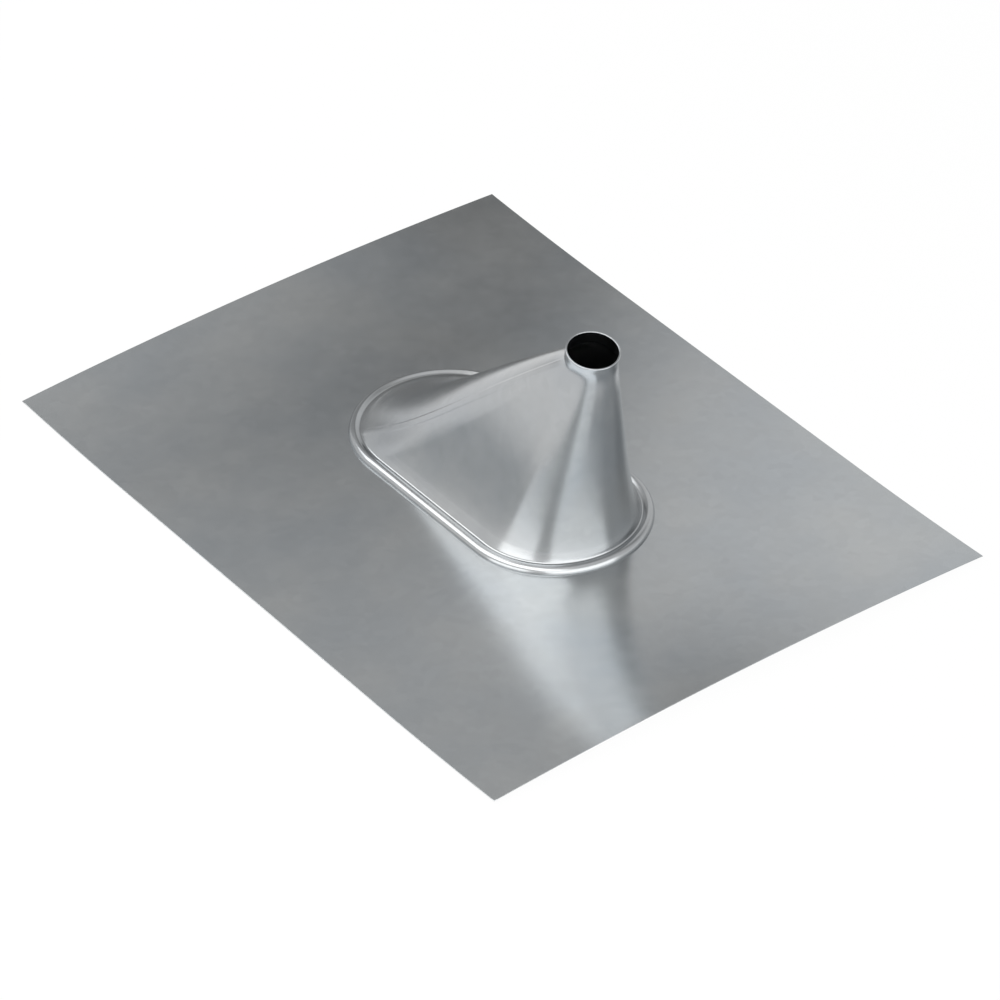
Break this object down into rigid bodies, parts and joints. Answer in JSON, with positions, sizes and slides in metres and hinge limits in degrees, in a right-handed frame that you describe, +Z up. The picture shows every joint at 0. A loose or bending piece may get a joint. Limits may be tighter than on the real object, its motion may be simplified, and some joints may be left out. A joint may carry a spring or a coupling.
{
  "type": "pipe flashing boot",
  "caption": "Sheet-metal roof flashing boot: a rectangular flange with a tapered cone, oval at its rolled foot seam and round at its mouth, that weathers a vent pipe on a pitched roof.",
  "frame": {"origin": "the middle of the flange's underside, where the boot lies on the roof", "axes": "+Z up from the flange towards the mouth; +X along the flange's long side, towards the cone's steep end; +Y across the flange, towards the side that the cone stands nearer to"},
  "size_m": [0.61, 0.457, 0.1855],
  "materials": {
    "galvanised_sheet": "satin zinc-coated sheet, lightly mottled"
  },
  "bodies": {
    "root": {"roof_flange": "galvanised_sheet", "pipe_cone": "galvanised_sheet"}
  },
  "joints": []
}
